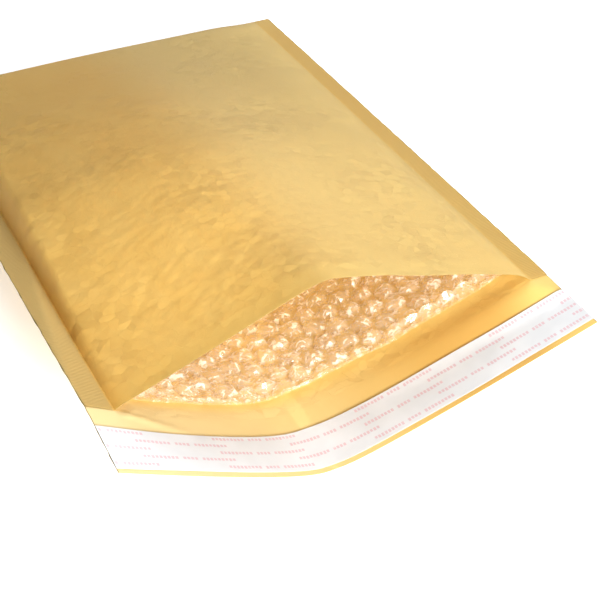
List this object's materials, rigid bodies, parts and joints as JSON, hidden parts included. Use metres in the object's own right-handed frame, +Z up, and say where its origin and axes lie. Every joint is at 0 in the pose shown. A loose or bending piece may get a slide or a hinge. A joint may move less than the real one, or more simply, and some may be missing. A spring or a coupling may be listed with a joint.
{
  "type": "padded envelope",
  "caption": "Kraft paper mailing pouch lined with bubble film, lying with its mouth squeezed open, its flap unfolded and a peel-off strip still over the adhesive.",
  "frame": {"origin": "on the table, under the middle of the whole pack with its flap open", "axes": "+Z up, +Y along the pack from the flap towards the closed end, +X across the mouth to the right as seen from the flap"},
  "size_m": [0.2392, 0.368, 0.0727],
  "materials": {
    "kraft_paper": "uncoated golden kraft paper, matt with a faint calendered sheen",
    "bubble_film": "clear polyethylene bubble film, seen against the kraft behind it",
    "adhesive": "translucent hot-melt adhesive",
    "release_paper": "white silicone-coated paper with a faint gloss"
  },
  "bodies": {
    "root": {"kraft_paper_shell": "kraft_paper", "bubble_liner": "bubble_film", "adhesive_strip": "adhesive", "release_liner": "release_paper"}
  },
  "joints": []
}
